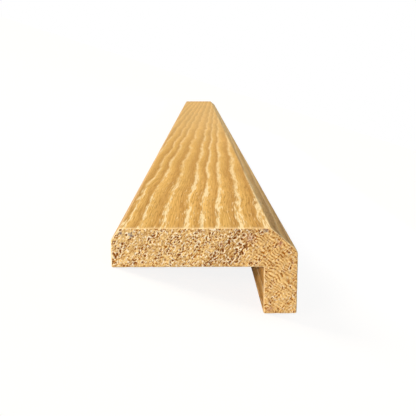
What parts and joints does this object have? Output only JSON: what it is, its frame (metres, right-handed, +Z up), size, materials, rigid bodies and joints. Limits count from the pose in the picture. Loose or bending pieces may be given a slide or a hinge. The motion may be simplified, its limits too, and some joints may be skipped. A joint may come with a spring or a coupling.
{
  "type": "cap moulding",
  "caption": "Straight hardwood cap moulding of L-shaped section: a wide flat cap with a chamfered outer corner and lip, and a leg that hangs over the edge of a panel.",
  "frame": {"origin": "on the floor, below the middle of the moulding's bounding box, as the moulding lies unheld on its lip and its leg", "axes": "+Y along the length, +X towards the leg's side, +Z up from the floor; the cap rises towards +X by 17.72 degrees"},
  "size_m": [0.0472, 0.9, 0.0203],
  "materials": {
    "hardwood": "bare ring-porous hardwood, planed on the long faces and sawn at the ends"
  },
  "bodies": {
    "root": {"cap_moulding": "hardwood"}
  },
  "joints": []
}
